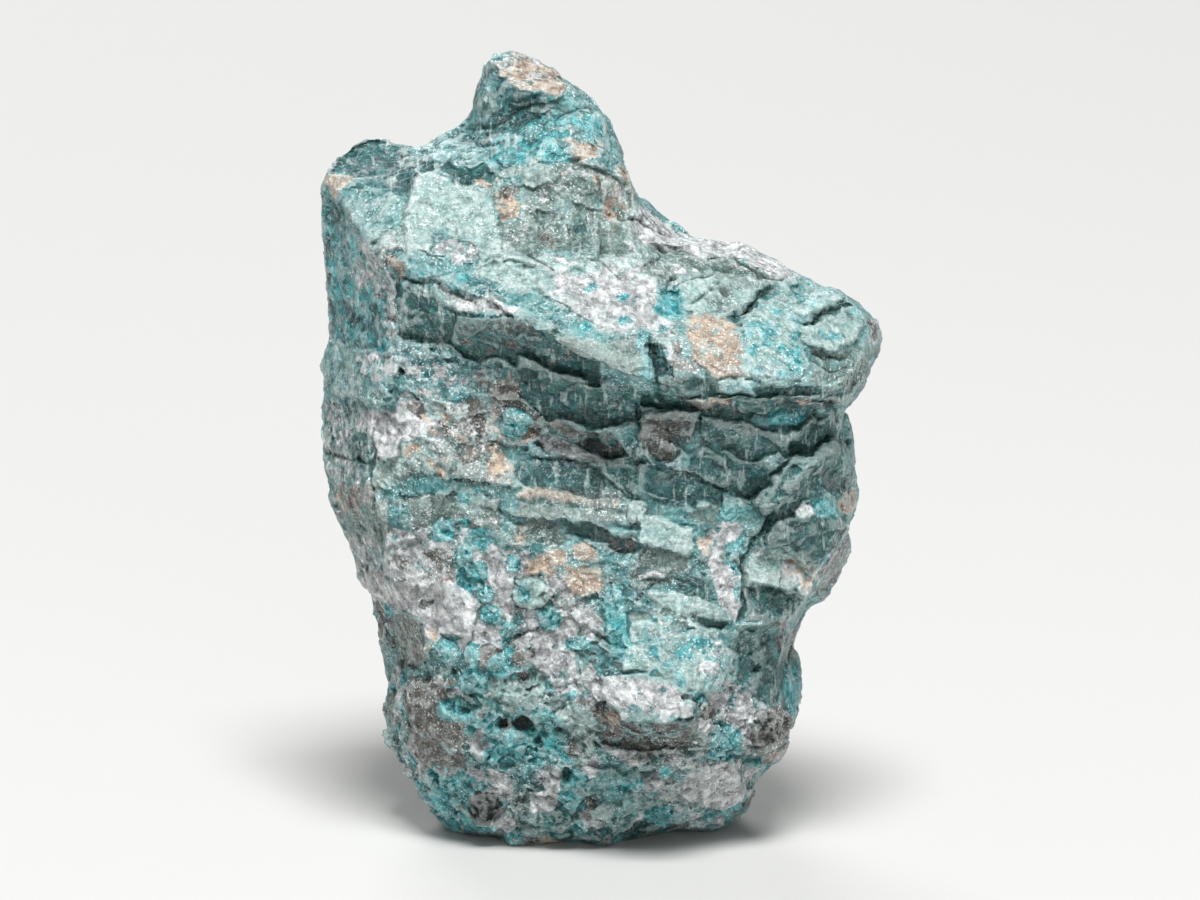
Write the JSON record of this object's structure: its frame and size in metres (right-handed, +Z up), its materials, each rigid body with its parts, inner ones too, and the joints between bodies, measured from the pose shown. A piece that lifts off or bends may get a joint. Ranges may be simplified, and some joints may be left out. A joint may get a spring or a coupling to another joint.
{
  "type": "rough amazonite stone",
  "caption": "Rough broken block of teal amazonite feldspar with quartz, with a horn, a jutting ledge and a crumbly foot, that stands on a small flat spot.",
  "frame": {"origin": "middle of the stone's bounding box at the level of the flat spot that it rests on", "axes": "+Z up along the tall way of the stone, -Y towards the face with the ledge, +X to that face's right"},
  "size_m": [0.0842, 0.063, 0.1184],
  "materials": {
    "amazonite": "broken feldspar, glassy to pearly on cleavage faces, dull and grainy low down"
  },
  "bodies": {
    "root": {"rough_amazonite": "amazonite"}
  },
  "joints": []
}
